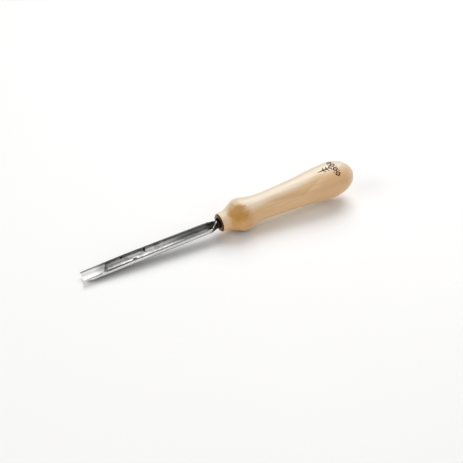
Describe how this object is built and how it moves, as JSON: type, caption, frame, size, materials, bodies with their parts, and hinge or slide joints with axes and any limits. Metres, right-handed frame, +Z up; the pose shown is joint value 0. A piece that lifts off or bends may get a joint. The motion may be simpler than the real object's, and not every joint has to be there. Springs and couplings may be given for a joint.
{
  "type": "carving gouge",
  "caption": "Straight woodcarving gouge: deep U-section steel blade with an outside bevel, dark steel ferrule and a turned wooden handle with a bead, waist and domed butt.",
  "frame": {"origin": "middle of the tool's footprint, on the plane it rests on", "axes": "+X from the cutting edge towards the butt, +Z up, out of the open side of the flute. The tool lies at rest on its bevel heel and the handle's bead, so its own axis climbs a few degrees towards the butt."},
  "size_m": [0.2502, 0.0312, 0.0354],
  "materials": {
    "blade_steel": "satin",
    "ferrule_steel": "satin",
    "handle_wood": "matte"
  },
  "bodies": {
    "root": {"blade": "blade_steel", "ferrule": "ferrule_steel", "handle": "handle_wood"}
  },
  "joints": []
}
